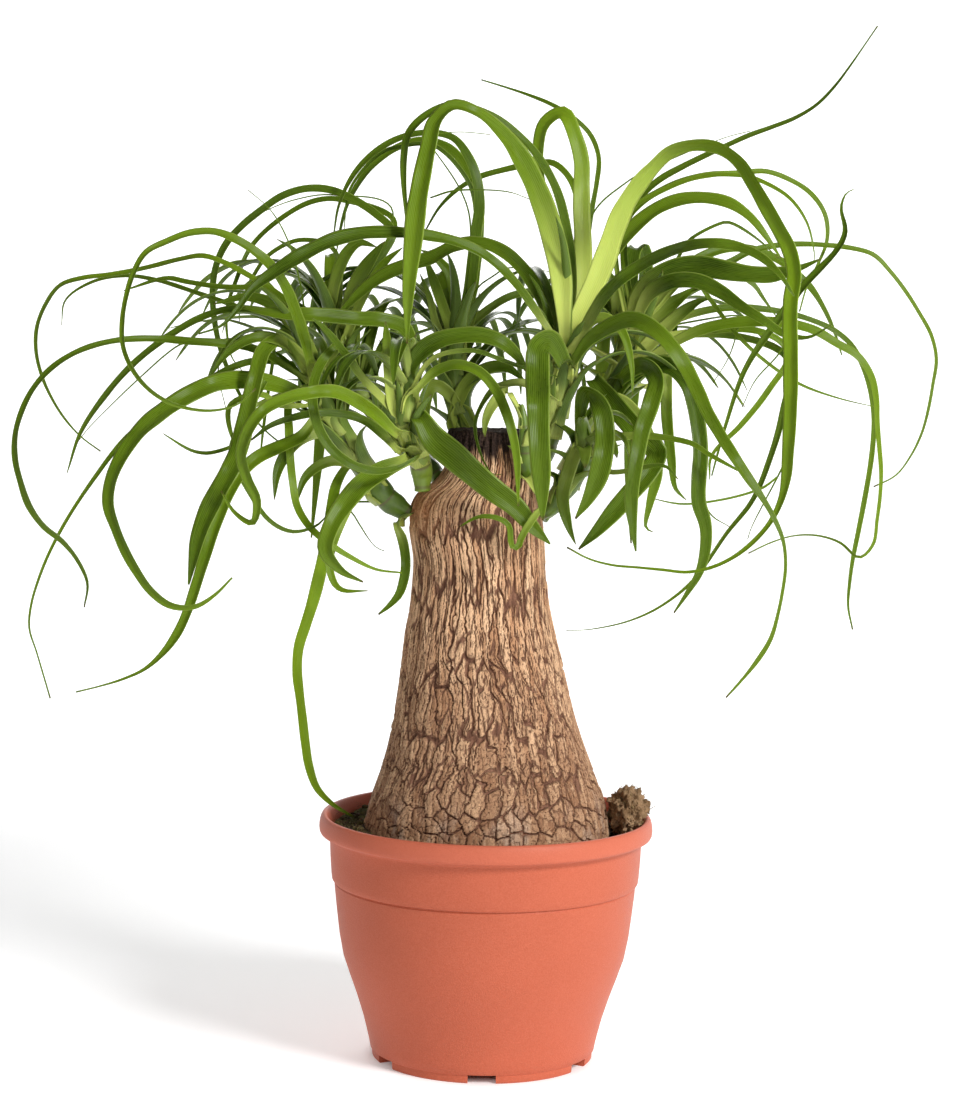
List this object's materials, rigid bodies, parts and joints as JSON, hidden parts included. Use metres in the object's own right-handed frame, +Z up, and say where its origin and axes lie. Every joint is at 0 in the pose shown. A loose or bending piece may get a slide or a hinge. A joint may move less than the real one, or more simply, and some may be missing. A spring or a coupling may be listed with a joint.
{
  "type": "potted ponytail palm",
  "caption": "Ponytail palm with a sawn-off cracked trunk, side shoots and long arching strap leaves, standing in a plain terracotta-coloured pot.",
  "frame": {"origin": "centre of the pot's foot, on the surface it stands on", "axes": "+Z up along the pot's axis, -Y the front, +X to the right as seen from the front"},
  "size_m": [0.4679, 0.2644, 0.5281],
  "materials": {
    "pot_plastic": "satin, finely speckled",
    "soil": "rough, matte potting soil",
    "moss": "rough, mossy peat",
    "bark": "ridged and cracked bark, matte",
    "shoot": "smooth, waxy green stem",
    "leaf": "satin strap leaf with fine veins along it"
  },
  "bodies": {
    "root": {"pot": "pot_plastic", "soil": "soil", "soil_clump": "moss", "trunk": "bark", "shoot_left": "shoot", "shoot_front_left": "shoot", "shoot_back_left": "shoot", "shoot_back_centre": "shoot", "shoot_right_centre": "shoot", "shoot_right": "shoot", "shoot_low_right": "shoot", "bud_young": "shoot", "leaf_left_01": "leaf", "leaf_left_02": "leaf", "leaf_left_03": "leaf", "leaf_left_04": "leaf", "leaf_left_05": "leaf", "leaf_left_06": "leaf", "leaf_left_07": "leaf", "leaf_left_08": "leaf", "leaf_left_09": "leaf", "leaf_left_10": "leaf", "leaf_left_11": "leaf", "leaf_left_12": "leaf", "leaf_left_13": "leaf", "leaf_left_14": "leaf", "leaf_left_15": "leaf", "leaf_left_16": "leaf", "leaf_front_01": "leaf", "leaf_front_02": "leaf", "leaf_front_03": "leaf", "leaf_front_04": "leaf", "leaf_front_05": "leaf", "leaf_centre_01": "leaf", "leaf_centre_02": "leaf", "leaf_centre_03": "leaf", "leaf_centre_04": "leaf", "leaf_centre_05": "leaf", "leaf_centre_06": "leaf", "leaf_centre_07": "leaf", "leaf_centre_08": "leaf", "leaf_right_01": "leaf", "leaf_right_02": "leaf", "leaf_right_03": "leaf", "leaf_right_04": "leaf", "leaf_right_05": "leaf", "leaf_right_06": "leaf", "leaf_right_07": "leaf", "leaf_right_08": "leaf", "leaf_right_09": "leaf", "leaf_right_10": "leaf", "leaf_right_11": "leaf", "leaf_right_12": "leaf", "leaf_right_13": "leaf", "leaf_right_14": "leaf", "leaf_back_01": "leaf", "leaf_back_02": "leaf", "leaf_back_03": "leaf", "leaf_back_04": "leaf", "leaf_back_05": "leaf"}
  },
  "joints": []
}
